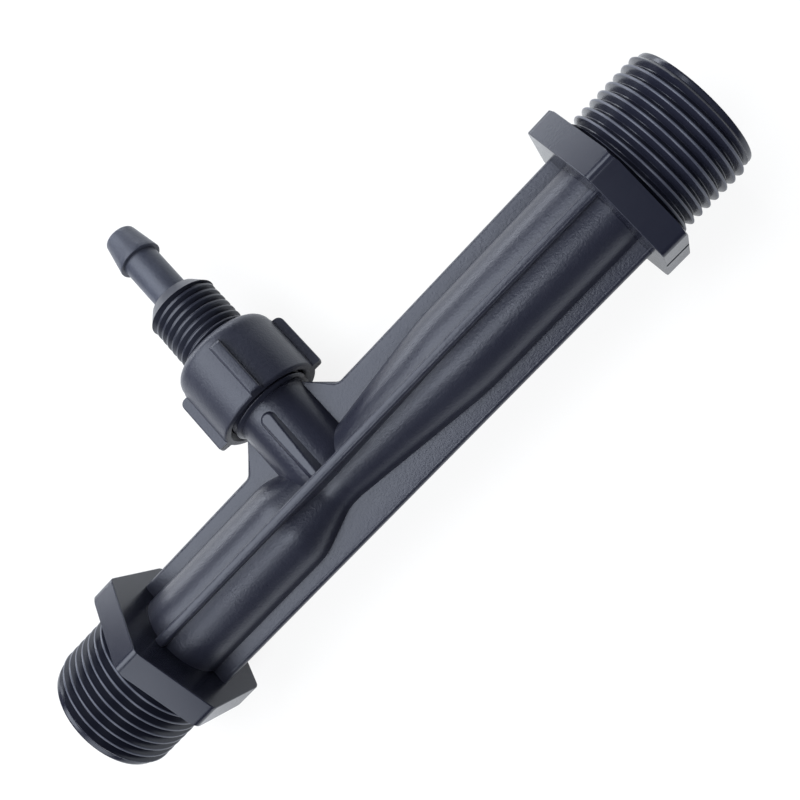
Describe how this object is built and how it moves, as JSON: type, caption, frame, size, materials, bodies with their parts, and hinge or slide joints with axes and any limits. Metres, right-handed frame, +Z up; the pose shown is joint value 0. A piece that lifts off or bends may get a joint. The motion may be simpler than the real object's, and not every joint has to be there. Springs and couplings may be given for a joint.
{
  "type": "venturi fertilizer injector",
  "caption": "Ribbed plastic venturi tube with threaded pipe ends, hexagons and a side suction branch with a lugged union nut and a barbed hose tail.",
  "frame": {"origin": "centre of the inlet end face, on the flow axis", "axes": "+X along the flow from inlet to outlet, +Y along the suction branch away from the tube, +Z up through the upright ribs"},
  "size_m": [0.1512, 0.0803, 0.0348],
  "materials": {
    "moulded_plastic": "dark charcoal, satin, fine moulded grain",
    "nut_plastic": "dark charcoal, satin, fine moulded grain",
    "tail_plastic": "dark charcoal, satin, fine moulded grain",
    "seal_rubber": "matt black rubber",
    "ball_plastic": "smooth off-white plastic"
  },
  "bodies": {
    "injector_body": {"body": "moulded_plastic"},
    "tail": {"suction_tail": "tail_plastic", "seal_washer": "seal_rubber"},
    "nut": {"union_nut": "nut_plastic"},
    "ball": {"check_ball": "ball_plastic"}
  },
  "joints": [
    {"name": "tail_lift", "type": "slide", "parent": "injector_body", "child": "tail", "axis": [0, 1, 0], "range_m": [0, 0.0081]},
    {"name": "nut_turn", "type": "hinge", "parent": "tail", "child": "nut", "pos_m": [0.0637, 0.027, 0], "axis": [0, 1, 0], "range_deg": [0, 2160]},
    {"name": "ball_slide", "type": "slide", "parent": "injector_body", "child": "ball", "axis": [0, 1, 0], "range_m": [0, 0.0052]}
  ],
  "couplings": [
    {"joint": "tail_lift", "follows": "nut_turn", "m_per_rad": 0.00021279}
  ]
}
